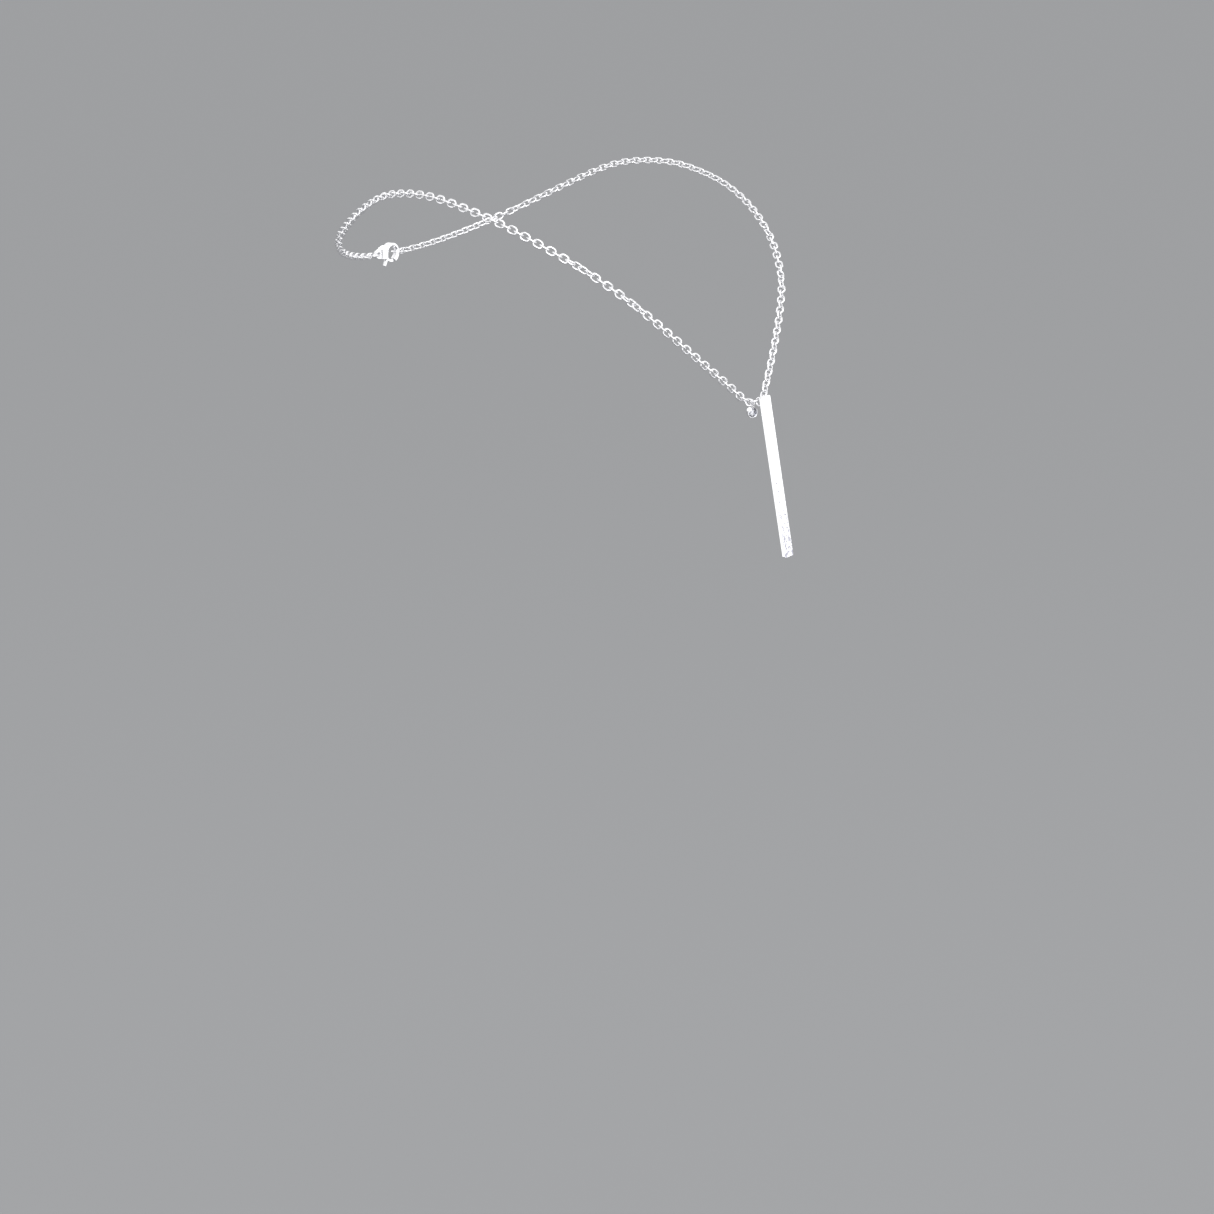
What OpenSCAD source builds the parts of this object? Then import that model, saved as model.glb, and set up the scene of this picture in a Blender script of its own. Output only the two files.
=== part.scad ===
// Pendant necklace: a cable chain of round-wire links, a slim bar hung by two loops on its back,
// a tiny crystal charm beside it, and a lobster clasp at the nape. Stored as worn:
// the wearer faces -Y, +X is the wearer's left, +Z is up, and the origin is the middle of the neck
// at the height where the chain crosses the shoulders. All sizes are in millimetres.

/* [Chain] */
// Wire thickness of a chain link
wire_d = 0.5; // [0.46:0.01:0.51]
// Distance from one link's centre to the next
link_pitch = 1.71; // [1.7:0.005:1.72]
// Play between two hooked links
link_gap = 0.06; // [0.04:0.01:0.08]
// Width of a link over its wire
link_w = 2.15; // [2.1:0.05:2.2]
// How far one half twist of the chain is spread, in links
twist_span = 6; // [5:1:8]

/* [Bar] */
// Length of the bar
bar_l = 40; // [36:1:44]
// Width of the bar
bar_w = 3.8; // [3.4:0.1:4.2]
// Thickness of the bar
bar_t = 0.8; // [0.7:0.1:1]
// Radius of the bar's four corners
bar_corner_r = 0.4; // [0.3:0.1:1.2]
// Lean of the bar, lower end forward, where it rests on the chest
bar_lean = 11.2; // [8:0.2:14]
// Wire thickness of the two loops on the bar's back
loop_wire_d = 0.5; // [0.45:0.01:0.5]
// Radius of each loop, to the middle of its wire
loop_r = 0.95; // [0.94:0.01:0.98]
// Distance of each loop from the middle of the bar
loop_x = 1; // [0.98:0.01:1.02]

/* [Charm] */
// Outer diameter of the crystal's setting
bezel_d = 2.7; // [2.6:0.1:2.8]
// Height of the setting, front to back
bezel_h = 1.3; // [1.2:0.1:1.4]
// Diameter of the crystal at its girdle
stone_d = 2.3; // [2.2:0.05:2.35]
// Turn of the charm's face towards the wearer's right
charm_turn = 32; // [20:1:40]

/* [Clasp] */
// Thickness of the clasp
clasp_t = 1.8; // [1.7:0.1:2]
// Outer radius of the clasp's hook
hook_r = 2.7; // [2.65:0.05:2.75]
// Wire thickness of the ring that holds the clasp
clasp_ring_wire_d = 0.45; // [0.4:0.05:0.45]
// Wire thickness of the end ring that the clasp hooks
end_ring_wire_d = 0.5; // [0.45:0.05:0.5]
// Diameter of the clasp's pin
pin_d = 0.6; // [0.5:0.1:0.6]
// Running clearance of the lever on its pin, on the radius
pin_play = 0.03; // [0.02:0.01:0.05]

/* [Hidden] */
$fn = 32;
silver = "silver";

// First link of each stretch of one strand, counted from the bar. The first and the last link,
// which other pieces hook into, are stretches of their own; the last value is the count.
stretch = [0, 1, 13, 26, 39, 52, 83, 96, 108, 109];
link_count = stretch[9];

// Route of the wearer's right strand, from the bar's loop over the shoulder to the nape.
route = [
    [-1.5, -55.4, -49.25], [-3.05, -54.75, -49.35], [-5.0, -53.9, -48.1], [-8.4, -52.7, -45.1],
    [-11.9, -51.4, -42.1], [-18.1, -48.9, -36.7], [-24.1, -46.2, -31.2], [-29.8, -43.0, -25.7],
    [-34.9, -38.7, -20.5], [-39.5, -33.4, -15.6], [-43.6, -27.1, -11.2], [-46.8, -20.3, -7.3],
    [-49.0, -12.7, -3.9], [-50.1, -4.6, -1.4], [-50.2, 3.7, 0.3], [-49.3, 12.2, 0.6],
    [-47.9, 20.7, -0.5], [-45.8, 28.4, -3.3], [-41.5, 38.5, -8.5], [-34.5, 49.0, -14.5],
    [-24.5, 57.5, -19.5], [-13.0, 62.5, -22.5], [0.0, 64.5, -23.5]];

// A point of the route by number, carried on past both ends.
function route_point(i) =
    i < 0 ? 2 * route[0] - route[1]
    : i < len(route) ? route[i]
    : [-route[len(route) - 2].x, route[len(route) - 2].y, route[len(route) - 2].z];

// Smooth curve through four points, at t from the second (0) to the third (1).
function blend4(a, b, c, d, t) =
    (2 * b + (c - a) * t + (2 * a - 5 * b + 4 * c - d) * t * t + (3 * b - a - 3 * c + d) * t * t * t) / 2;

function route_at(u) =
    let (i = min(floor(u), len(route) - 2))
    blend4(route_point(i - 1), route_point(i), route_point(i + 1), route_point(i + 2), u - i);

// Where the next link's centre falls, one pitch on in a straight line, by halving an interval.
function step_on(here, low, high, turns) =
    turns == 0 ? low
    : norm(route_at((low + high) / 2) - here) < link_pitch
        ? step_on(here, (low + high) / 2, high, turns - 1)
        : step_on(here, low, (low + high) / 2, turns - 1);

link_places = [for (i = 0, u = 0; i < link_count; i = i + 1, u = step_on(route_at(u), u, u + 1.6, 30)) u];
centres = [for (u = link_places) route_at(u)];

// Neighbour of a link in either direction, with one made up past each end.
function centre(i) =
    i < 0 ? centres[0] + [link_pitch, -0.7, 0.2]
    : i < len(centres) ? centres[i]
    : centres[len(centres) - 1] + [link_pitch, 0.05, 0];

function unit(v) = v / norm(v);
function along(i) = unit(centre(i + 1) - centre(i - 1));

// Away from the neck and a little upwards: the way a link's flat side faces.
function outward(p) = unit([p.x, p.y, 0.45 * norm([p.x, p.y])]);
function clamp01(x) = max(0, min(1, x));
function half_twist(i, first) = 90 * clamp01((i - first) / twist_span);

// The right strand lies turned towards the wearer's side, most where the chest slopes away in front.
function side_turn(i) =
    -clamp01(i / 4) * (8 + 34 * (1 - clamp01((i - 5) / 40))) * (1 - clamp01((i - 60) / 20));

// Turn of a link about the chain's direction, so that odd links lie flat and even ones stand on edge.
function roll(i, dir) =
    let (side = unit([-dir.y, dir.x, 0]), top = cross(dir, side), out = outward(centre(i)))
    atan2(-out * side, out * top) + 90 * ((i + 1) % 2) 
        + half_twist(i, 22) + half_twist(i, 31) + half_twist(i, 86);

// Link sizes to the middle of the wire
link_r = (link_w - wire_d) / 2;
link_straight = link_pitch + link_gap + wire_d - 2 * link_r;

module wire_ring(r, d) {
    rotate_extrude()
        translate([r, 0])
            circle(d = d, $fn = 16);
}

module link() {
    for (end = [-1, 1])
        translate([end * link_straight / 2, 0, 0])
            rotate([0, 0, -90 * end])
                rotate_extrude(angle = 180)
                    translate([link_r, 0])
                        circle(d = wire_d, $fn = 16);
    for (side = [-1, 1])
        translate([0, side * link_r, 0])
            rotate([0, 90, 0])
                cylinder(d = wire_d, h = link_straight, center = true, $fn = 16);
}

// Puts a shape whose length runs along X at a place, pointing a way, and rolled about that way.
module aim(place, dir, turn) {
    translate(place)
        rotate([0, -asin(dir.z), atan2(dir.y, dir.x)])
            rotate([turn, 0, 0])
                children();
}

module strand(part, turned) {
    for (i = [stretch[part] : stretch[part + 1] - 1])
        aim(centre(i), along(i), roll(i, along(i)) + turned * side_turn(i))
            link();
}

module right_chain(part) { color(silver) strand(part, 1); }
module left_chain(part) { color(silver) mirror([1, 0, 0]) strand(part, 0); }

// Each loop hangs on the front wire of its end link, so its middle is a little below and in front.
loop_drop = 0.06;
loop_reach = 0.96;
loop_centre = [0, centres[0].y - loop_reach, centres[0].z - loop_drop];
bar_back = 0.55;
bar_rise = 1.16;

// Bar frame: origin on the bar's back behind the loops, +Z up the bar, +Y to its back.
module bar_frame() {
    translate(loop_centre)
        rotate([-bar_lean, 0, 0])
            translate([0, -bar_back, 0])
                children();
}

module pendant_bar() {
    color(silver) bar_frame()
        translate([0, 0, bar_rise - bar_l / 2])
            rotate([90, 0, 0])
                linear_extrude(bar_t)
                    offset(r = bar_corner_r)
                        square([bar_w - 2 * bar_corner_r, bar_l - 2 * bar_corner_r], center = true);
}

// Round-wire loops soldered on the bar's back, cut off flush where they meet the bar.
module bar_loops() {
    color(silver) difference() {
        for (side = [-1, 1])
            translate(loop_centre + [side * loop_x, 0, 0])
                rotate([0, 90, 0])
                    wire_ring(loop_r, loop_wire_d);
        bar_frame()
            translate([-2, -4, -4])
                cube([4, 4, 8]);
    }
}

// The charm's ring goes round the rear side of the end link on the wearer's right.
play = 0.03;
charm_ring_r = 0.58;
charm_ring_wire_d = 0.3;
charm_eye_r = 0.42;
charm_eye_wire_d = 0.26;
eye_sink = 0.2;
charm_hook = centre(0) + [0, 0.815, -0.365];
charm_ring_centre = charm_hook + [0, 0, wire_d / 2 + play + charm_ring_wire_d / 2 - charm_ring_r];
charm_eye_centre = charm_ring_centre
    - [0, 0, charm_ring_r - charm_ring_wire_d / 2 - charm_eye_wire_d / 2 - play + charm_eye_r];
charm_centre = charm_eye_centre - [0, 0, bezel_d / 2 + charm_eye_r - eye_sink];

module charm_frame(place) {
    translate(place)
        rotate([0, 0, -charm_turn])
            rotate([90, 0, 0])
                children();
}

module charm_jump_ring() {
    color(silver) translate(charm_ring_centre)
        rotate([0, 90, 0])
            wire_ring(charm_ring_r, charm_ring_wire_d);
}

stone_girdle_h = 0.1;
stone_crown_h = 0.38;
stone_pavilion_h = 0.9;
stone_table_d = 1.3;
bezel_lip = 0.12;

// Cup with an open back: the crystal's girdle rests on its seat under the rolled lip.
module charm_bezel() {
    color(silver) charm_frame(charm_centre)
        difference() {
            union() {
                translate([0, 0, -bezel_h / 2])
                    cylinder(d = bezel_d, h = bezel_h, $fn = 48);
                translate([0, bezel_d / 2 + charm_eye_r - eye_sink, 0])
                    wire_ring(charm_eye_r, charm_eye_wire_d);
            }
            translate([0, 0, -bezel_h / 2 - 1])
                cylinder(d = stone_d - 0.5, h = bezel_h + 2, $fn = 48);
            translate([0, 0, 0.05])
                cylinder(d = stone_d + 0.02, h = bezel_h, $fn = 48);
        }
}

module charm_stone() {
    color("white") charm_frame(charm_centre)
        translate([0, 0, 0.14])
            rotate_extrude($fn = 48)
                polygon([[0, -stone_pavilion_h + 0.2], [stone_d / 2 - 0.35, -0.1],
                    [stone_d / 2, stone_girdle_h / 2], [stone_d / 2, 1.5 * stone_girdle_h],
                    [stone_table_d / 2, stone_crown_h], [0, stone_crown_h]]);
}

// Clasp, laid along X at the nape between the two strands' last links.
nape_x = -centre(link_count - 1).x;
nape_place = centre(link_count - 1);
link_inside = (link_pitch + link_gap) / 2;
clasp_ring_r = 1.2;
eye_r = 0.6;
eye_rim_r = 1.15;
eye_t = 1;
// Slack of the two rings in the clasp, whose metal is thick where they go round it
ring_slack = 0.18;
clasp_ring_x = -nape_x + link_inside - play - clasp_ring_wire_d / 2 + clasp_ring_r;
eye_x = clasp_ring_x + clasp_ring_r + eye_r - ring_slack - clasp_ring_wire_d / 2;
eye_to_hook = 5.4;
hook_hole_r = 1.65;
hook_rim = 0.35;
hook_x = eye_x + eye_to_hook;
end_ring_near_x = hook_x + hook_hole_r - ring_slack - end_ring_wire_d / 2;
end_ring_far_x = nape_x - link_inside + play + end_ring_wire_d / 2;
end_ring_r = (end_ring_far_x - end_ring_near_x) / 2;
end_ring_x = (end_ring_far_x + end_ring_near_x) / 2;
pivot = [-1.9, -0.5];
slot_w = 0.9;
slot_start_x = -3.93;
slot_end_x = -0.9;
spring_r = 0.8;
lever_t = 0.8;

// Clasp frame: X towards the wearer's left, Y down the clasp's face, Z out of the nape.
module clasp_frame(x) {
    translate([x, nape_place.y, nape_place.z])
        rotate([-90, 0, 0])
            children();
}

module clasp_outline() {
    difference() {
        union() {
            circle(r = hook_r, $fn = 64);
            hull() {
                translate([-2.2, -0.3]) circle(r = 1.9);
                translate([-eye_to_hook, 0]) circle(r = eye_rim_r);
            }
        }
        circle(r = hook_hole_r, $fn = 48);
        translate([-eye_to_hook, 0]) circle(r = eye_r);
        // the gate's opening, closed by the lever
        polygon([[0, 0], [1.55, 3.6], [-2.6, 3.6], [-2.4, 1.1]]);
    }
}

module clasp_body() {
    color(silver) clasp_frame(hook_x)
        difference() {
            translate([0, 0, -clasp_t / 2])
                linear_extrude(clasp_t)
                    clasp_outline();
            for (face = [-1, 1]) {
                // the tail is thinner round its eye, and the hook's inner rim is eased for the ring
                translate([-eye_to_hook - 2 * eye_rim_r, -2 * eye_rim_r, face < 0 ? -clasp_t : eye_t / 2])
                    cube([3 * eye_rim_r, 4 * eye_rim_r, clasp_t - eye_t / 2]);
                translate([0, 0, face * (clasp_t / 2 - hook_rim)])
                    rotate([face < 0 ? 180 : 0, 0, 0])
                        cylinder(r1 = hook_hole_r, r2 = hook_hole_r + 2 * hook_rim, h = 2 * hook_rim, $fn = 48);
            }
            // slot for the lever and its spring
            translate([slot_start_x, -1.65, -slot_w / 2])
                cube([slot_end_x - slot_start_x, 4.5, slot_w]);
            translate([pivot.x, pivot.y, -clasp_t])
                cylinder(d = pin_d, h = 2 * clasp_t);
        }
}

module clasp_lever() {
    color(silver) clasp_frame(hook_x)
        translate([0, 0, -lever_t / 2])
            difference() {
                linear_extrude(lever_t)
                    union() {
                        translate(pivot) circle(r = 0.85);
                        hull() {
                            translate(pivot + [0.1, 0.3]) circle(r = 0.5);
                            translate([-1.75, 1.3]) circle(r = 0.4);
                        }
                        // the arm that closes the hook
                        intersection() {
                            difference() {
                                circle(r = 2.55, $fn = 64);
                                circle(r = 1.8, $fn = 64);
                            }
                            polygon([[0, 0], [1.35, 3.6], [-2.6, 3.6], [-2.6, 1.2]]);
                        }
                        // the thumb tab
                        hull() {
                            translate([-1.8, 1.5]) circle(r = 0.4);
                            translate([-2.6, 3.1]) circle(r = 0.35);
                        }
                    }
                translate([pivot.x, pivot.y, -1])
                    cylinder(d = pin_d + 2 * pin_play, h = lever_t + 2);
            }
}

module clasp_pin() {
    color(silver) clasp_frame(hook_x)
        translate([pivot.x, pivot.y, -clasp_t / 2])
            cylinder(d = pin_d, h = clasp_t);
}

// Bent leaf behind the lever's heel, resting in the slot.
module clasp_spring() {
    color("dimgray") clasp_frame(hook_x)
        translate([slot_start_x + spring_r + play, -0.2, -0.3])
            linear_extrude(0.6)
                intersection() {
                    difference() {
                        circle(r = spring_r);
                        circle(r = spring_r - 0.15);
                    }
                    translate([-1, -1]) square([1.2, 2]);
                }
}

module clasp_jump_ring() {
    color(silver) clasp_frame(clasp_ring_x)
        rotate([90, 0, 0])
            wire_ring(clasp_ring_r, clasp_ring_wire_d);
}

module end_ring() {
    color(silver) clasp_frame(end_ring_x)
        rotate([90, 0, 0])
            wire_ring(end_ring_r, end_ring_wire_d);
}

pendant_bar();
bar_loops();
right_chain(0);  // right_end_link
left_chain(0);  // left_end_link
right_chain(1);  // right_front_chain_1
left_chain(1);  // left_front_chain_1
right_chain(2);  // right_front_chain_2
left_chain(2);  // left_front_chain_2
right_chain(3);  // right_front_chain_3
left_chain(3);  // left_front_chain_3
right_chain(4);  // right_front_chain_4
left_chain(4);  // left_front_chain_4
right_chain(5);  // right_side_chain
left_chain(5);  // left_side_chain
right_chain(6);  // right_nape_chain_1
left_chain(6);  // left_nape_chain_1
right_chain(7);  // right_nape_chain_2
left_chain(7);  // left_nape_chain_2
right_chain(8);  // right_nape_link
left_chain(8);  // left_nape_link
charm_jump_ring();
charm_bezel();
charm_stone();
clasp_jump_ring();
clasp_body();
clasp_lever();
clasp_pin();
clasp_spring();
end_ring();
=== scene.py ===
import math

import bmesh
import bpy
import numpy as np
from mathutils import Matrix, Vector


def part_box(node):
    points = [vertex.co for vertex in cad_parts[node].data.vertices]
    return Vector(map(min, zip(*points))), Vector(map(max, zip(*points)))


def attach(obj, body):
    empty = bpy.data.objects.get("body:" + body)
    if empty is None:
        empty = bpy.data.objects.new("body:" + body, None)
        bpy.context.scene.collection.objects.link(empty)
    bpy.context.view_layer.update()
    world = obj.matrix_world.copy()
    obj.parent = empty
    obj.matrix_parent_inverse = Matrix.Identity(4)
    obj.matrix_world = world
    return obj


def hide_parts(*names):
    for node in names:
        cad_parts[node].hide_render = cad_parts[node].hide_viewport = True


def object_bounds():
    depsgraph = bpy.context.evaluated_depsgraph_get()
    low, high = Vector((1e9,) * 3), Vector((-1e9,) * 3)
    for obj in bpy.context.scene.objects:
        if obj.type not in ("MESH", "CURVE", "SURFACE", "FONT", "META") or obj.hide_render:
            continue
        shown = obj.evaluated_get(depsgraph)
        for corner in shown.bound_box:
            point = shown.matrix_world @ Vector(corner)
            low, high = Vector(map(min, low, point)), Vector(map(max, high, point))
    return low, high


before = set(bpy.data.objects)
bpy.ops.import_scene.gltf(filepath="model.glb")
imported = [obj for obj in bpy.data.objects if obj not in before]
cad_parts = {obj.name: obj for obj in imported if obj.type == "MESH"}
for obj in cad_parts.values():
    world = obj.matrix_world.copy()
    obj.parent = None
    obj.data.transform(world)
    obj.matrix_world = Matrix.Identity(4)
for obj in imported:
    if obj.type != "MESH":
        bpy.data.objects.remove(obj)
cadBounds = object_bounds()
print("necklace frame loaded:", len(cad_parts), "nodes")

mm = 0.001


def linearColour(hexText):
    channels = [int(hexText[i:i + 2], 16) / 255 for i in (1, 3, 5)]
    linear = [c / 12.92 if c <= 0.04045 else ((c + 0.055) / 1.055) ** 2.4 for c in channels]
    return (*linear, 1.0)


def addNode(tree, kind, settings=None, inputs=None):
    # inputs: socket name or number to a value, or to another node's output
    node = tree.nodes.new(kind)
    for name, value in (settings or {}).items():
        setattr(node, name, value)
    for name, value in (inputs or {}).items():
        if isinstance(value, bpy.types.NodeSocket):
            tree.links.new(value, node.inputs[name])
        else:
            node.inputs[name].default_value = value
    return node


def newMaterial(name):
    material = bpy.data.materials.new(name)
    material.use_nodes = True
    material.node_tree.nodes.clear()
    return material, material.node_tree


def finishMaterial(tree, shader):
    addNode(tree, "ShaderNodeOutputMaterial", inputs={"Surface": shader.outputs[0]})


def meshObject(name, mesh):
    obj = bpy.data.objects.new(name, mesh)
    bpy.context.scene.collection.objects.link(obj)
    return obj


def pointOutwards(mesh):
    bm = bmesh.new()
    bm.from_mesh(mesh)
    bmesh.ops.remove_doubles(bm, verts=bm.verts, dist=1e-7)
    bmesh.ops.recalc_face_normals(bm, faces=bm.faces)
    if bm.calc_volume(signed=True) < 0:
        bmesh.ops.reverse_faces(bm, faces=bm.faces)
    bm.to_mesh(mesh)
    bm.free()


def applyModifiers(obj):
    # the evaluated shape becomes the object's own plain mesh
    graph = bpy.context.evaluated_depsgraph_get()
    baked = bpy.data.meshes.new_from_object(obj.evaluated_get(graph))
    obj.modifiers.clear()
    obj.data = baked
    baked.name = obj.name


def placeOnFrame(obj, nodes, body):
    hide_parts(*nodes)
    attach(obj, body)


def nodeIslands(nodeName):
    # the separate solids of a CAD node, each as an array of its points
    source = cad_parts[nodeName].data
    bm = bmesh.new()
    bm.from_mesh(source)
    bmesh.ops.remove_doubles(bm, verts=bm.verts, dist=1e-7)
    bm.verts.ensure_lookup_table()
    seen = set()
    islands = []
    for start in bm.verts:
        if start.index in seen:
            continue
        stack, members = [start], []
        seen.add(start.index)
        while stack:
            vertex = stack.pop()
            members.append(tuple(vertex.co))
            for edge in vertex.link_edges:
                other = edge.other_vert(vertex)
                if other.index not in seen:
                    seen.add(other.index)
                    stack.append(other)
        islands.append(np.array(members))
    bm.free()
    return islands


def ownAxes(points):
    # centre, directions (long, wide, flat) and extents of one solid, from its own shape
    spread = points - points.mean(0)
    vectors = np.linalg.eigh(np.cov(spread.T)).eigenvectors
    axes = vectors[:, ::-1].T
    along = points @ axes.T
    low, high = along.min(0), along.max(0)
    centre = ((low + high) / 2) @ axes
    return Vector(centre), [Vector(a) for a in axes], high - low


silverLook = {
    "colour": "#ECECEE",        # rhodium over silver: nearly neutral, a trace cool
    "roughness": 0.07,
    "markRoughness": 0.17,      # where a polishing mark crosses
    "polishLines": 0.25 * mm,   # spacing of the faint marks that tumbling leaves
    "waviness": 0.9 * mm,       # size and depth of the soft dents along drawn wire
    "waveDepth": 0.05 * mm,
    "waveStrength": 0.12,
}


def polishedSilver():
    # tumbled and rhodium-plated silver: mirror bright, with soft waves and a few hair marks
    material, tree = newMaterial("polished silver")
    place = addNode(tree, "ShaderNodeTexCoord").outputs["Object"]
    waves = addNode(tree, "ShaderNodeTexNoise", inputs={
        "Vector": place, "Scale": 1 / silverLook["waviness"], "Detail": 2.0, "Roughness": 0.5})
    marks = addNode(tree, "ShaderNodeTexNoise", inputs={
        "Vector": place, "Scale": 1 / silverLook["polishLines"], "Detail": 3.0, "Roughness": 0.6})
    rough = addNode(tree, "ShaderNodeMapRange", inputs={
        "Value": marks.outputs["Fac"], "From Min": 0.35, "From Max": 0.75,
        "To Min": silverLook["roughness"], "To Max": silverLook["markRoughness"]})
    bump = addNode(tree, "ShaderNodeBump", inputs={
        "Height": waves.outputs["Fac"], "Strength": silverLook["waveStrength"],
        "Distance": silverLook["waveDepth"]})
    shader = addNode(tree, "ShaderNodeBsdfPrincipled", inputs={
        "Base Color": linearColour(silverLook["colour"]), "Metallic": 1.0,
        "Roughness": rough.outputs["Result"], "Normal": bump.outputs["Normal"]})
    finishMaterial(tree, shader)
    return material


barLook = {
    "colour": "#F1F1F2",
    "greySpots": "#A5A5B2",         # the darker grey-violet that the spots turn, more of them towards the lower end
    "roughness": 0.1,
    "frostRoughness": 0.42,
    "mottle": 0.6 * mm,         # size of the cloudy satin spots
    "spotsAbove": 0.62,         # how rare the spots are where they start, and at the lower end
    "spotsBelow": 0.42,
    "spotEdge": 0.16,           # how softly a spot fades out
    "satinFrom": 0.2,           # share of the bar's length, from the top, where the spots start
    "broadFaces": (0.6, 0.9),   # the narrow sides stay polished
    "grain": 0.12 * mm,         # brush grain along the bar, drawn coarse enough to show
    "grainStretch": 0.08,
    "grainDepth": 0.01 * mm,
    "grainStrength": 0.1,
    "frostDepth": 0.03 * mm,
    "frostStrength": 0.35,
}


def satinBarSilver():
    # polished bar whose lower part is lightly frosted in cloudy spots, which also darken the
    # colour to grey-violet
    low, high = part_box("pendant_bar")
    material, tree = newMaterial("satin and polished silver")
    place = addNode(tree, "ShaderNodeTexCoord").outputs["Object"]
    height = addNode(tree, "ShaderNodeSeparateXYZ", inputs={"Vector": place}).outputs["Z"]
    rarity = addNode(tree, "ShaderNodeMapRange", inputs={
        "Value": height, "From Min": high.z - barLook["satinFrom"] * (high.z - low.z),
        "From Max": low.z, "To Min": barLook["spotsAbove"],
        "To Max": barLook["spotsBelow"]}).outputs["Result"]
    full = addNode(tree, "ShaderNodeMath", {"operation": "ADD"},
                   {0: rarity, 1: barLook["spotEdge"]}).outputs[0]
    mottle = addNode(tree, "ShaderNodeTexNoise", inputs={
        "Vector": place, "Scale": 1 / barLook["mottle"], "Detail": 3.0, "Roughness": 0.6})
    patches = addNode(tree, "ShaderNodeMapRange", {"interpolation_type": "SMOOTHSTEP"}, {
        "Value": mottle.outputs["Fac"], "From Min": rarity, "From Max": full}).outputs["Result"]
    normal = addNode(tree, "ShaderNodeTexCoord").outputs["Normal"]
    forward = addNode(tree, "ShaderNodeSeparateXYZ", inputs={"Vector": normal}).outputs["Y"]
    facing = addNode(tree, "ShaderNodeMath", {"operation": "ABSOLUTE"}, {0: forward})
    broadFace = addNode(tree, "ShaderNodeMapRange", {"interpolation_type": "SMOOTHSTEP"}, {
        "Value": facing.outputs[0], "From Min": barLook["broadFaces"][0],
        "From Max": barLook["broadFaces"][1]}).outputs["Result"]
    greySpots = addNode(tree, "ShaderNodeMath", {"operation": "MULTIPLY"}, {
        0: broadFace, 1: patches})
    stretched = addNode(tree, "ShaderNodeMapping", inputs={
        "Vector": place, "Scale": (1, 1, barLook["grainStretch"])})
    grain = addNode(tree, "ShaderNodeTexNoise", inputs={
        "Vector": stretched.outputs["Vector"], "Scale": 1 / barLook["grain"], "Detail": 2.0})
    rough = addNode(tree, "ShaderNodeMapRange", inputs={
        "Value": greySpots.outputs[0], "To Min": barLook["roughness"],
        "To Max": barLook["frostRoughness"]})
    # the spots darken the colour towards grey-violet, with more spots towards the lower end
    colour = addNode(tree, "ShaderNodeMix", {"data_type": "RGBA"}, {
        "Factor": greySpots.outputs[0], "A": linearColour(barLook["colour"]),
        "B": linearColour(barLook["greySpots"])})
    grainBump = addNode(tree, "ShaderNodeBump", inputs={
        "Height": grain.outputs["Fac"], "Strength": barLook["grainStrength"],
        "Distance": barLook["grainDepth"]})
    mottleBump = addNode(tree, "ShaderNodeBump", inputs={
        "Height": greySpots.outputs[0], "Strength": barLook["frostStrength"],
        "Distance": barLook["frostDepth"], "Normal": grainBump.outputs["Normal"]})
    shader = addNode(tree, "ShaderNodeBsdfPrincipled", inputs={
        "Base Color": colour.outputs[2], "Metallic": 1.0,
        "Roughness": rough.outputs["Result"], "Normal": mottleBump.outputs["Normal"]})
    finishMaterial(tree, shader)
    return material


crystalLook = {
    "colour": "#F6F7FC",
    "roughness": 0.02,
    "index": 1.8,
    "mirrorShare": 0.4,         # part of the light that the coat throws back
    "foilColour": "#E9EAEE",
    "foilCreases": 0.2 * mm,
    "foilRoughness": (0.03, 0.12),
}


def cubicZirconia():
    # clear cut stone with a part-mirror coat, so each facet flashes white or dark
    material, tree = newMaterial("coated cubic zirconia")
    shader = addNode(tree, "ShaderNodeBsdfPrincipled", inputs={
        "Base Color": linearColour(crystalLook["colour"]),
        "Roughness": crystalLook["roughness"], "IOR": crystalLook["index"],
        "Metallic": crystalLook["mirrorShare"], "Transmission Weight": 1.0})
    finishMaterial(tree, shader)
    return material


def mirrorFoil():
    # silver foil laid on the back of the crystal, so that it throws light forwards
    material, tree = newMaterial("silver mirror foil")
    place = addNode(tree, "ShaderNodeTexCoord").outputs["Object"]
    creases = addNode(tree, "ShaderNodeTexNoise", inputs={
        "Vector": place, "Scale": 1 / crystalLook["foilCreases"], "Detail": 2.0})
    smooth, creased = crystalLook["foilRoughness"]
    rough = addNode(tree, "ShaderNodeMapRange", inputs={
        "Value": creases.outputs["Fac"], "To Min": smooth, "To Max": creased})
    shader = addNode(tree, "ShaderNodeBsdfPrincipled", inputs={
        "Base Color": linearColour(crystalLook["foilColour"]), "Metallic": 1.0,
        "Roughness": rough.outputs["Result"]})
    finishMaterial(tree, shader)
    return material


springLook = {
    "colour": "#9DA0A5",
    "drawnMarks": 0.1 * mm,
    "roughness": (0.25, 0.45),
}


def springSteel():
    # grey spring strip, drawn and unpolished
    material, tree = newMaterial("spring steel")
    place = addNode(tree, "ShaderNodeTexCoord").outputs["Object"]
    drawn = addNode(tree, "ShaderNodeTexNoise", inputs={
        "Vector": place, "Scale": 1 / springLook["drawnMarks"]})
    least, most = springLook["roughness"]
    rough = addNode(tree, "ShaderNodeMapRange", inputs={
        "Value": drawn.outputs["Fac"], "To Min": least, "To Max": most})
    shader = addNode(tree, "ShaderNodeBsdfPrincipled", inputs={
        "Base Color": linearColour(springLook["colour"]), "Metallic": 1.0,
        "Roughness": rough.outputs["Result"]})
    finishMaterial(tree, shader)
    return material


silver = polishedSilver()
barSilver = satinBarSilver()
crystal = cubicZirconia()
foil = mirrorFoil()
steel = springSteel()
print("materials made")


cutStart = 0.9  # where round a jump ring its cut lies, in radians


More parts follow.
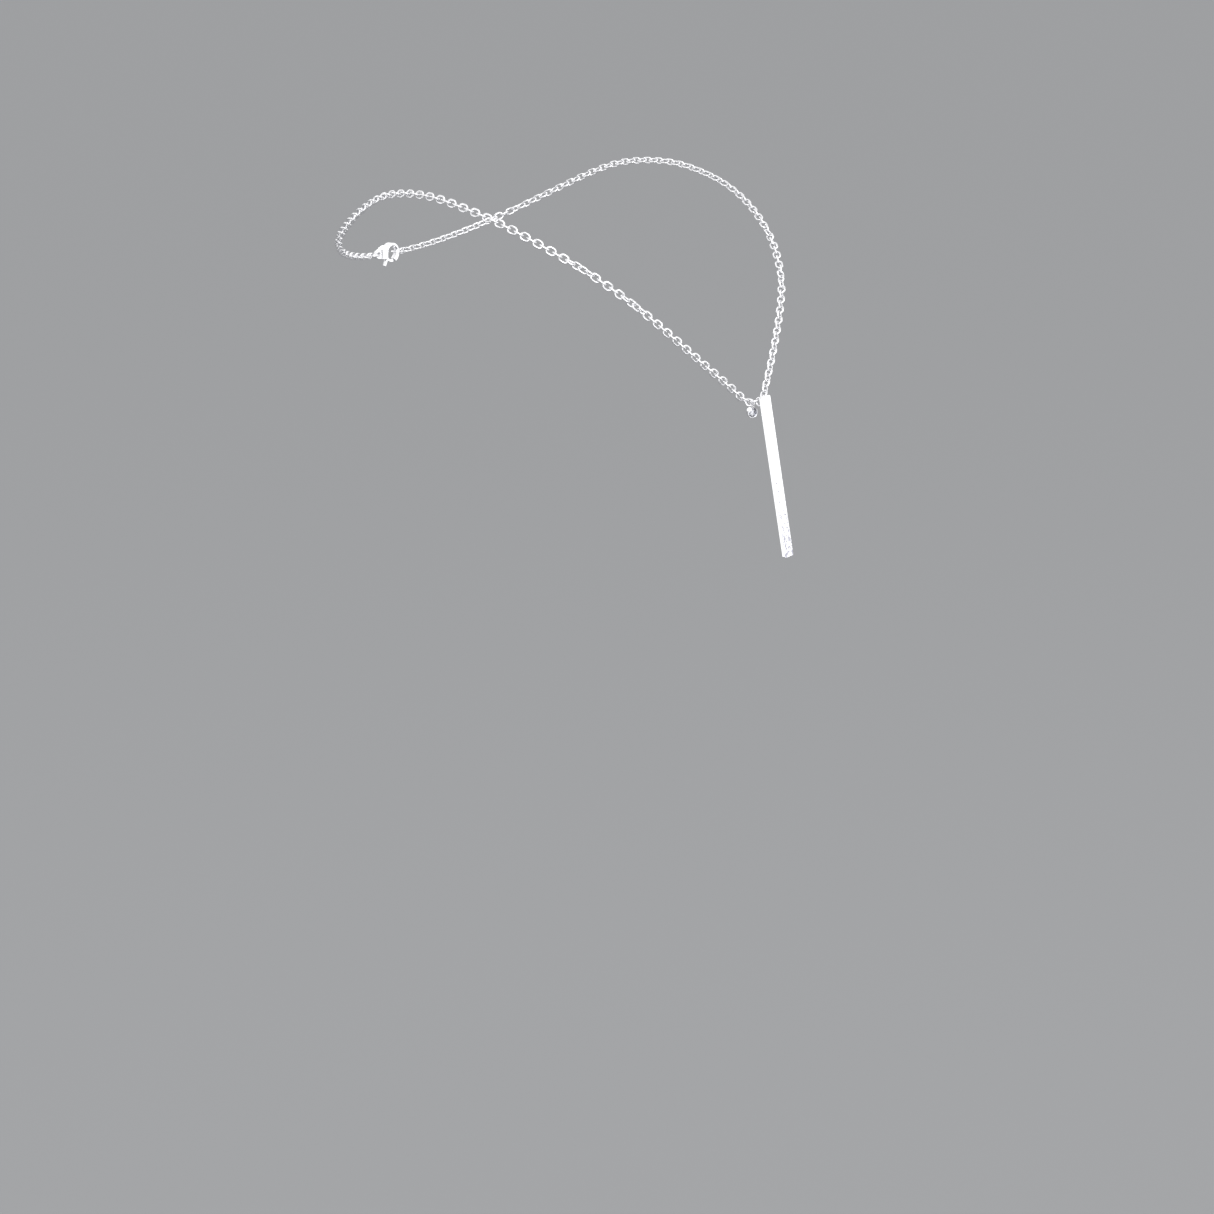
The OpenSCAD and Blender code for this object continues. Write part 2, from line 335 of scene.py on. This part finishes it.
def wireTree(name, open_):
    # one wire ring for every point of the mesh that carries the modifier
    tree = bpy.data.node_groups.new(name, "GeometryNodeTree")
    face = tree.interface
    face.new_socket("Geometry", in_out="INPUT", socket_type="NodeSocketGeometry")
    for label, kind in (("Wire Diameter", "Float"), ("Bend Radius", "Float"),
                        ("Straight Length", "Float"), ("Gap Angle", "Float"),
                        ("Steps Round Ring", "Int"), ("Steps Round Wire", "Int"),
                        ("Metal", "Material")):
        face.new_socket(label, in_out="INPUT", socket_type="NodeSocket" + kind)
    face.new_socket("Geometry", in_out="OUTPUT", socket_type="NodeSocketGeometry")
    given = addNode(tree, "NodeGroupInput").outputs

    if open_:  # a jump ring, cut through once and pushed shut
        sweep = addNode(tree, "ShaderNodeMath", {"operation": "SUBTRACT"},
                        {0: 2 * math.pi, 1: given["Gap Angle"]})
        path = addNode(tree, "GeometryNodeCurveArc", {"mode": "RADIUS"}, {
            "Resolution": given["Steps Round Ring"], "Radius": given["Bend Radius"],
            "Start Angle": cutStart, "Sweep Angle": sweep.outputs[0]})
    else:
        path = addNode(tree, "GeometryNodeCurvePrimitiveCircle", {"mode": "RADIUS"}, {
            "Resolution": given["Steps Round Ring"], "Radius": given["Bend Radius"]})

    # the two halves move apart by the straight length
    here = addNode(tree, "GeometryNodeInputPosition")
    across = addNode(tree, "ShaderNodeSeparateXYZ", inputs={"Vector": here.outputs[0]})
    side = addNode(tree, "ShaderNodeMath", {"operation": "SIGN"}, {0: across.outputs["X"]})
    half = addNode(tree, "ShaderNodeMath", {"operation": "MULTIPLY"},
                   {0: given["Straight Length"], 1: 0.5})
    shift = addNode(tree, "ShaderNodeMath", {"operation": "MULTIPLY"},
                    {0: side.outputs[0], 1: half.outputs[0]})
    offset = addNode(tree, "ShaderNodeCombineXYZ", inputs={"X": shift.outputs[0]})
    stretched = addNode(tree, "GeometryNodeSetPosition", inputs={
        "Geometry": path.outputs["Curve"], "Offset": offset.outputs[0]})

    radius = addNode(tree, "ShaderNodeMath", {"operation": "MULTIPLY"},
                     {0: given["Wire Diameter"], 1: 0.5})
    section = addNode(tree, "GeometryNodeCurvePrimitiveCircle", {"mode": "RADIUS"}, {
        "Resolution": given["Steps Round Wire"], "Radius": radius.outputs[0]})
    wire = addNode(tree, "GeometryNodeCurveToMesh", inputs={
        "Curve": stretched.outputs[0], "Profile Curve": section.outputs["Curve"],
        "Fill Caps": open_})
    smooth = addNode(tree, "GeometryNodeSetShadeSmooth", inputs={"Geometry": wire.outputs[0]})

    length = addNode(tree, "GeometryNodeInputNamedAttribute", {"data_type": "FLOAT_VECTOR"},
                     {"Name": "longWay"})
    flat = addNode(tree, "GeometryNodeInputNamedAttribute", {"data_type": "FLOAT_VECTOR"},
                   {"Name": "flatWay"})
    turn = addNode(tree, "FunctionNodeAxesToRotation",
                   {"primary_axis": "Z", "secondary_axis": "X"},
                   {"Primary Axis": flat.outputs["Attribute"],
                    "Secondary Axis": length.outputs["Attribute"]})
    rings = addNode(tree, "GeometryNodeInstanceOnPoints", inputs={
        "Points": given["Geometry"], "Instance": smooth.outputs[0], "Rotation": turn.outputs[0]})
    real = addNode(tree, "GeometryNodeRealizeInstances", inputs={"Geometry": rings.outputs[0]})
    finish = addNode(tree, "GeometryNodeSetMaterial", inputs={
        "Geometry": real.outputs[0], "Material": given["Metal"]})
    addNode(tree, "NodeGroupOutput", inputs={"Geometry": finish.outputs[0]})
    return tree


closedWire = wireTree("closed wire rings", False)
cutWire = wireTree("cut jump rings", True)


def wireRings(name, places, sizes, tree=closedWire):
    # places: (centre, long way, flat way) for each ring; sizes: the tree's inputs by name
    mesh = bpy.data.meshes.new(name)
    mesh.from_pydata([tuple(place[0]) for place in places], [], [])
    for attribute, which in (("longWay", 1), ("flatWay", 2)):
        layer = mesh.attributes.new(attribute, "FLOAT_VECTOR", "POINT")
        layer.data.foreach_set("vector", [c for place in places for c in place[which]])
    obj = meshObject(name, mesh)
    modifier = obj.modifiers.new("wire", "NODES")
    modifier.node_group = tree
    for item in tree.interface.items_tree:
        if item.in_out == "INPUT" and item.name in sizes:
            modifier[item.identifier] = sizes[item.name]
    applyModifiers(obj)
    pointOutwards(obj.data)
    for attribute in ("longWay", "flatWay"):
        if attribute in obj.data.attributes:
            obj.data.attributes.remove(obj.data.attributes[attribute])
    return obj


chainLook = {
    "stepsRoundLink": 18,      # not a multiple of four, so no point lies where the halves part
    "stepsRoundWire": 6,
}


def chainPiece(name, nodes, body):
    places = []
    extents = []
    for node in nodes:
        for island in nodeIslands(node):
            centre, axes, extent = ownAxes(island)
            places.append((centre, axes[0], axes[2]))
            extents.append(extent)
    longSize, wideSize, wire = (float(v) for v in np.mean(extents, axis=0))
    obj = wireRings(name, places, {
        "Wire Diameter": wire, "Bend Radius": (wideSize - wire) / 2,
        "Straight Length": longSize - wideSize,
        "Steps Round Ring": chainLook["stepsRoundLink"],
        "Steps Round Wire": chainLook["stepsRoundWire"], "Metal": silver})
    placeOnFrame(obj, nodes, body)
    return len(places)


def makeChain():
    # each stretch of chain and its body; the links that other pieces hook ride with their stretch
    stretches = {name: [name] for name in (
        "front_chain_1", "front_chain_2", "front_chain_3", "front_chain_4", "side_chain",
        "nape_chain_1", "nape_chain_2")}
    stretches["front_chain_1"].append("end_link")
    stretches["nape_chain_2"].append("nape_link")
    count = 0
    for body, parts in stretches.items():
        for side in ("right", "left"):
            count += chainPiece(f"{side}_{body}_links", [f"{side}_{part}" for part in parts], body)
    print("chain links:", count)


makeChain()


ringLook = {
    "stepsRoundRing": 48,
    "stepsRoundWire": 14,
    "cutWidth": 0.05 * mm,      # the hairline where a jump ring is pushed shut
}


def roundRing(name, node, body, tree=closedWire):
    centre, axes, extent = ownAxes(nodeIslands(node)[0])
    wire = float(extent[2])
    radius = (float(extent[0]) - wire) / 2
    obj = wireRings(name, [(centre, axes[0], axes[2])], {
        "Wire Diameter": wire, "Bend Radius": radius, "Straight Length": 0.0,
        "Gap Angle": ringLook["cutWidth"] / radius,
        "Steps Round Ring": ringLook["stepsRoundRing"],
        "Steps Round Wire": ringLook["stepsRoundWire"], "Metal": silver}, tree)
    placeOnFrame(obj, [node], body)


roundRing("charm_ring_wire", "charm_jump_ring", "charm_ring", cutWire)
roundRing("clasp_ring_wire", "clasp_jump_ring", "clasp", cutWire)
roundRing("end_ring_wire", "end_ring", "clasp")
print("jump rings made")


barShape = {
    "cornerRadius": 0.4 * mm,
    "cornerSteps": 10,
    "edgeRound": 0.12 * mm,     # the soft edge that polishing leaves
    "edgeSteps": 3,
}


def makeBar():
    centre, axes, extent = ownAxes(nodeIslands("pendant_bar")[0])
    up = axes[0] if axes[0].z > 0 else -axes[0]
    front = axes[2] if axes[2].y < 0 else -axes[2]
    across = up.cross(front)
    halfLength, halfWidth, halfThick = (float(v) / 2 for v in extent)
    r, steps = barShape["cornerRadius"], barShape["cornerSteps"]
    outline = []
    for quarter, (sx, sz) in enumerate(((1, 1), (-1, 1), (-1, -1), (1, -1))):
        for step in range(steps + 1):
            angle = (quarter + step / steps) * math.pi / 2
            outline.append((sx * (halfWidth - r) + r * math.cos(angle),
                            sz * (halfLength - r) + r * math.sin(angle)))
    bm = bmesh.new()
    rims = []
    for depth in (-halfThick, halfThick):
        rims.append([bm.verts.new(centre + across * x + up * z + front * depth)
                     for x, z in outline])
    count = len(outline)
    for i in range(count):
        j = (i + 1) % count
        bm.faces.new((rims[0][i], rims[0][j], rims[1][j], rims[1][i]))
    bm.faces.new(rims[0])
    bm.faces.new(rims[1])
    rimEdges = [e for e in bm.edges if len({v in rims[0] for v in e.verts}) == 1]
    bmesh.ops.bevel(bm, geom=rimEdges, offset=barShape["edgeRound"],
                    segments=barShape["edgeSteps"], profile=0.5, affect="EDGES")
    for face in bm.faces:
        face.smooth = True
    mesh = bpy.data.meshes.new("bar")
    bm.to_mesh(mesh)
    bm.free()
    pointOutwards(mesh)
    mesh.materials.append(barSilver)
    obj = meshObject("bar_plate", mesh)
    weighted = obj.modifiers.new("flat faces stay flat", "WEIGHTED_NORMAL")
    weighted.keep_sharp = False
    applyModifiers(obj)
    placeOnFrame(obj, ["pendant_bar"], "bar")


def makeBarLoops():
    # whole rings whose front part is sunk in the bar, as a soldered loop is
    places = []
    for island in nodeIslands("bar_loops"):
        low, high = island.min(0), island.max(0)
        wire = float(high[0] - low[0])
        outer = float(high[2] - low[2]) / 2
        centre = Vector((low[0] + high[0], 2 * (high[1] - outer), low[2] + high[2])) / 2
        places.append((centre, Vector((0, 0, 1)), Vector((1, 0, 0))))
    obj = wireRings("bar_loop_wires", places, {
        "Wire Diameter": wire, "Bend Radius": outer - wire / 2, "Straight Length": 0.0,
        "Steps Round Ring": ringLook["stepsRoundRing"],
        "Steps Round Wire": ringLook["stepsRoundWire"], "Metal": silver})
    placeOnFrame(obj, ["bar_loops"], "bar")


makeBar()
makeBarLoops()
print("bar and its loops made")


charmShape = {
    "settingRadius": 1.35 * mm,
    "lipInside": 1.1 * mm,      # the thin rolled lip that holds the stone
    "lipHeight": 0.36 * mm,
    "wallInside": 1.16 * mm,
    "backHole": 0.9 * mm,
    "backHoleTop": -0.08 * mm,
    "backRound": ((0.12, 0.0), (0.03, 0.04), (0.0, 0.14)),   # in from the wall, up from the back
    "lipRound": ((0.0, -0.08), (0.02, 0.06), (0.09, 0.14), (0.17, 0.13)),  # up from the lip
    "lipEdge": (0.02, 0.05),
    "seatPlay": 0.03 * mm,
    "settingSteps": 72,
    "tableRadius": 0.65 * mm,
    "crownRadius": 0.93 * mm,
    "crownHeight": 0.44 * mm,
    "tableHeight": 0.52 * mm,
    "girdleRadius": 1.15 * mm,
    "girdle": (0.2 * mm, 0.28 * mm),
    "pavilionRadius": 0.55 * mm,
    "pavilionHeight": -0.18 * mm,
    "culetHeight": -0.5 * mm,
    "facets": 8,
    "eyeRadius": 0.42 * mm,
    "eyeWire": 0.26 * mm,
    "eyeSteps": (36, 12),       # round the eye, and round its wire
}


def charmFrame():
    # turn and place of the charm, from the setting's own shape
    centre, axes, extent = ownAxes(nodeIslands("charm_stone")[0])
    face = axes[2] if axes[2].y < 0 else -axes[2]
    face.z = 0
    face.normalize()
    up = Vector((0, 0, 1))
    across = up.cross(face)
    low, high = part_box("charm_bezel")
    radius = charmShape["settingRadius"]
    middle = Vector((centre.x, centre.y, low.z + radius))
    points = np.concatenate(nodeIslands("charm_bezel"))
    depth = points @ np.array(face)
    middle += face * (float(depth.min() + depth.max()) / 2 - middle.dot(face))
    turn = Matrix((across, up, face)).transposed().to_4x4()
    return Matrix.Translation(middle) @ turn, radius, float(depth.max() - depth.min()) / 2, high


def lathe(profile, steps, matrix):
    # closed profile of (radius, height) points turned round the frame's Z
    bm = bmesh.new()
    rows = []
    for radius, height in profile:
        rows.append([bm.verts.new(matrix @ Vector((radius * math.cos(a), radius * math.sin(a),
                                                   height)))
                     for a in (2 * math.pi * k / steps for k in range(steps))])
    for i, row in enumerate(rows):
        following = rows[(i + 1) % len(rows)]
        for k in range(steps):
            n = (k + 1) % steps
            bm.faces.new((row[k], row[n], following[n], following[k]))
    for face in bm.faces:
        face.smooth = True
    return bm


def makeBezel():
    matrix, radius, halfDepth, high = charmFrame()
    s = charmShape
    lipIn, lipUp = s["lipEdge"]
    profile = [(s["backHole"], -halfDepth)]
    profile += [(radius - inset * mm, -halfDepth + rise * mm) for inset, rise in s["backRound"]]
    profile += [(radius - inset * mm, s["lipHeight"] + rise * mm) for inset, rise in s["lipRound"]]
    profile += [
        (s["lipInside"] + lipIn * mm, s["lipHeight"] + lipUp * mm),
        (s["lipInside"], s["lipHeight"]), (s["wallInside"], s["girdle"][1] + s["seatPlay"]),
        (s["wallInside"], s["girdle"][0] - s["seatPlay"]), (s["backHole"], s["backHoleTop"]),
    ]
    bm = lathe(profile, s["settingSteps"], matrix)
    mesh = bpy.data.meshes.new("bezel")
    bm.to_mesh(mesh)
    bm.free()
    pointOutwards(mesh)
    mesh.materials.append(silver)
    obj = meshObject("bezel_cup", mesh)
    placeOnFrame(obj, ["charm_bezel"], "charm")
    eyeCentre = Vector((matrix.translation.x, matrix.translation.y,
                        high.z - s["eyeRadius"] - s["eyeWire"] / 2))
    eye = wireRings("bezel_eye", [(eyeCentre, Vector((0, 0, 1)),
                                   matrix.to_3x3() @ Vector((0, 0, 1)))], {
        "Wire Diameter": s["eyeWire"], "Bend Radius": s["eyeRadius"], "Straight Length": 0.0,
        "Steps Round Ring": s["eyeSteps"][0], "Steps Round Wire": s["eyeSteps"][1],
        "Metal": silver})
    placeOnFrame(eye, ["charm_bezel"], "charm")


def makeStone():
    # a round brilliant: table, stars, kites, girdle, and a pavilion of mains and lower halves
    matrix, radius, halfDepth, high = charmFrame()
    s = charmShape
    bm = bmesh.new()

    def ring(count, r, h, offset=0.0):
        return [bm.verts.new(matrix @ Vector((r * math.cos(2 * math.pi * (k + offset) / count),
                                              r * math.sin(2 * math.pi * (k + offset) / count),
                                              h))) for k in range(count)]

    n = s["facets"]
    table = ring(n, s["tableRadius"], s["tableHeight"])
    crown = ring(n, s["crownRadius"], s["crownHeight"], 0.5)
    upper = ring(2 * n, s["girdleRadius"], s["girdle"][1])
    lower = ring(2 * n, s["girdleRadius"], s["girdle"][0])
    pavilion = ring(n, s["pavilionRadius"], s["pavilionHeight"], 0.5)
    culet = bm.verts.new(matrix @ Vector((0, 0, s["culetHeight"])))
    bm.faces.new(table)
    for k in range(n):
        j = (k + 1) % n
        bm.faces.new((table[k], crown[k], table[j]))
        bm.faces.new((table[k], crown[k - 1], upper[2 * k]))
        bm.faces.new((table[k], upper[2 * k], crown[k]))
        bm.faces.new((crown[k], upper[2 * k], upper[2 * k + 1]))
        bm.faces.new((crown[k], upper[2 * k + 1], upper[(2 * k + 2) % (2 * n)]))
        bm.faces.new((lower[2 * k], pavilion[k], lower[2 * k + 1]))
        bm.faces.new((lower[2 * k + 1], pavilion[k], lower[(2 * k + 2) % (2 * n)]))
        bm.faces.new((lower[2 * k], culet, pavilion[k]))
        bm.faces.new((lower[2 * k], pavilion[k - 1], culet))
    for k in range(2 * n):
        j = (k + 1) % (2 * n)
        bm.faces.new((upper[k], lower[k], lower[j], upper[j]))
    mesh = bpy.data.meshes.new("stone")
    bm.to_mesh(mesh)
    bm.free()
    pointOutwards(mesh)
    mesh.materials.append(crystal)
    mesh.materials.append(foil)
    depth = Vector(matrix.col[2][:3])
    girdleMiddle = depth.dot(matrix.translation) + (s["girdle"][0] + s["girdle"][1]) / 2
    for face in mesh.polygons:
        if depth.dot(face.center) < girdleMiddle - (s["girdle"][1] - s["girdle"][0]) / 3:
            face.material_index = 1
    obj = meshObject("brilliant_stone", mesh)
    placeOnFrame(obj, ["charm_stone"], "charm")


makeBezel()
makeStone()
print("crystal charm made")


claspShape = {
    "grain": 0.07,              # size of the remeshed faces, in millimetres
    "bodySoftening": 30,        # cast and tumbled, so its edges are well rounded
    "leverSoftening": 9,
    "mergeWithin": 0.001,       # also in millimetres
    "pinDome": 0.07 * mm,
    "pinTip": 0.02 * mm,
    "domeShoulder": (0.6, 0.35),  # share of the pin's radius, and of its dome's height
    "pinSteps": 32,
}


def castPiece(name, node, body, softening, material):
    # the CAD solid with the soft edges of a cast and tumbled piece, remeshed at millimetre scale
    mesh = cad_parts[node].data.copy()
    mesh.name = name
    mesh.materials.clear()
    mesh.materials.append(material)
    mesh.transform(Matrix.Scale(1 / mm, 4))
    bm = bmesh.new()
    bm.from_mesh(mesh)
    bmesh.ops.remove_doubles(bm, verts=bm.verts, dist=claspShape["mergeWithin"])
    bm.to_mesh(mesh)
    bm.free()
    obj = meshObject(name, mesh)
    remesh = obj.modifiers.new("even faces", "REMESH")
    remesh.mode = "VOXEL"
    remesh.voxel_size = claspShape["grain"]
    remesh.use_smooth_shade = True
    soften = obj.modifiers.new("tumbled edges", "SMOOTH")
    soften.factor = 0.5
    soften.iterations = softening
    applyModifiers(obj)
    obj.data.transform(Matrix.Scale(mm, 4))
    placeOnFrame(obj, [node], body)


def springLeaf():
    # a strip with square edges, so the CAD solid's own mesh serves
    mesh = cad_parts["clasp_spring"].data.copy()
    mesh.name = "clasp_leaf"
    mesh.materials.clear()
    mesh.materials.append(steel)
    placeOnFrame(meshObject("clasp_leaf", mesh), ["clasp_spring"], "clasp")


def makePin():
    centre, axes, extent = ownAxes(nodeIslands("clasp_pin")[0])
    length, radius = float(extent[0]) / 2, float(extent[2]) / 2
    dome = claspShape["pinDome"]
    along = axes[0]
    side = along.orthogonal().normalized()
    turn = Matrix((side, along.cross(side), along)).transposed().to_4x4()
    matrix = Matrix.Translation(centre) @ turn
    tip = claspShape["pinTip"]
    wide, high = claspShape["domeShoulder"]
    profile = [(tip, -length), (radius * wide, -length + dome * high),
               (radius, -length + dome), (radius, length - dome),
               (radius * wide, length - dome * high), (tip, length)]
    bm = lathe(profile, claspShape["pinSteps"], matrix)
    mesh = bpy.data.meshes.new("pin")
    bm.to_mesh(mesh)
    bm.free()
    pointOutwards(mesh)
    mesh.materials.append(silver)
    placeOnFrame(meshObject("clasp_rivet", mesh), ["clasp_pin"], "clasp")


castPiece("clasp_hook", "clasp_body", "clasp", claspShape["bodySoftening"], silver)
castPiece("clasp_gate", "clasp_lever", "clasp_lever", claspShape["leverSoftening"], silver)
springLeaf()
makePin()
print("clasp made")


roomLook = {
    "floorBelow": 0.3,          # how far under the bar's tip the floor lies
    "floorHalf": 40.0,
    "floorColour": "#9A9B9D",
    "floorGrain": 3 * mm,
    "floorRoughness": (0.75, 0.9),
    "overhead": 1.1,            # brightness of the air overhead and at the horizon
    "horizon": 0.85,
    "fadeHeight": 0.7,          # sine of the angle up at which the air is fully bright
}


def paleFloor():
    # matt painted board with the faintest grain
    material, tree = newMaterial("matt pale board")
    place = addNode(tree, "ShaderNodeTexCoord").outputs["Object"]
    grain = addNode(tree, "ShaderNodeTexNoise", inputs={
        "Vector": place, "Scale": 1 / roomLook["floorGrain"]})
    least, most = roomLook["floorRoughness"]
    rough = addNode(tree, "ShaderNodeMapRange", inputs={
        "Value": grain.outputs["Fac"], "To Min": least, "To Max": most})
    shader = addNode(tree, "ShaderNodeBsdfPrincipled", inputs={
        "Base Color": linearColour(roomLook["floorColour"]), "Roughness": rough.outputs["Result"],
        "Specular IOR Level": 0.0})
    finishMaterial(tree, shader)
    return material


def makeFloor():
    half = roomLook["floorHalf"]
    z = cadBounds[0][2] - roomLook["floorBelow"]
    mesh = bpy.data.meshes.new("floor")
    mesh.from_pydata([(-half, -half, z), (half, -half, z), (half, half, z), (-half, half, z)],
                     [], [(0, 1, 2, 3)])
    mesh.materials.append(paleFloor())
    meshObject("floor", mesh)


def makeAir():
    # a wide soft ceiling that fades towards the horizon, so that round metal shows its shape
    world = bpy.data.worlds.new("studio air")
    world.use_nodes = True
    tree = world.node_tree
    tree.nodes.clear()
    place = addNode(tree, "ShaderNodeTexCoord").outputs["Generated"]
    height = addNode(tree, "ShaderNodeSeparateXYZ", inputs={"Vector": place}).outputs["Z"]
    fade = addNode(tree, "ShaderNodeMapRange", {"interpolation_type": "SMOOTHSTEP"}, {
        "Value": height, "From Min": 0.0, "From Max": roomLook["fadeHeight"],
        "To Min": roomLook["horizon"], "To Max": roomLook["overhead"]})
    sky = addNode(tree, "ShaderNodeBackground", inputs={
        "Color": (1, 1, 1, 1), "Strength": fade.outputs["Result"]})
    addNode(tree, "ShaderNodeOutputWorld", inputs={"Surface": sky.outputs[0]})
    bpy.context.scene.world = world


softBoxes = {
    # name: where from the bar's loops, size, and how bright its face is
    "front box": {"from": (0.5, -0.33, 0.0), "size": (0.4, 0.6), "bright": 1.15},
    "side box": {"from": (-0.58, 0.36, -0.1), "size": (0.5, 0.45), "bright": 1.0},
    "top box": {"from": (-0.15, -0.25, 0.75), "size": (0.6, 0.5), "bright": 1.6},
    "nape box": {"from": (0.25, 0.75, 0.3), "size": (0.5, 0.4), "bright": 1.2},
    "near box": {"from": (-0.6, -0.5, 0.35), "size": (0.6, 0.5), "bright": 3.0},
    "white card below": {"from": (-0.3, -0.3, -0.28), "size": (0.5, 0.5), "bright": 1.5},
    "white card before": {"from": (-0.08, -0.75, -0.16), "size": (0.6, 0.45), "bright": 1.4},
}


def makeLights():
    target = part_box("bar_loops")[1]
    for name, box in softBoxes.items():
        lamp = bpy.data.lights.new(name, "AREA")
        lamp.shape = "RECTANGLE"
        lamp.size, lamp.size_y = box["size"]
        lamp.energy = box["bright"] * math.pi * lamp.size * lamp.size_y
        lampObject = bpy.data.objects.new(name, lamp)
        lampObject.location = target + Vector(box["from"])
        lampObject.rotation_euler = (target - lampObject.location).to_track_quat(
            "-Z", "Y").to_euler()
        lampObject.visible_camera = False
        lampObject.visible_diffuse = name == "top box"  # the others would draw edges on the floor
        bpy.context.scene.collection.objects.link(lampObject)


cameraSetting = {
    "place": (-0.4535, -0.3375, 0.0608),
    "azimuth": -54.15,          # from straight in front, towards the wearer's right
    "downwards": 16.98,
    "lens": 65.9,
    "sensor": 36.0,
}


def makeCamera():
    lens = bpy.data.cameras.new("camera")
    lens.lens = cameraSetting["lens"]
    lens.sensor_width = cameraSetting["sensor"]
    lens.clip_start = 0.01
    camera = bpy.data.objects.new("camera", lens)
    camera.location = cameraSetting["place"]
    camera.rotation_euler = (math.radians(90 - cameraSetting["downwards"]), 0.0,
                             math.radians(cameraSetting["azimuth"]))
    bpy.context.scene.collection.objects.link(camera)
    bpy.context.scene.camera = camera
    bpy.context.scene.view_settings.view_transform = "Standard"


makeFloor()
makeAir()
makeLights()
makeCamera()
print("floor, light and camera made")
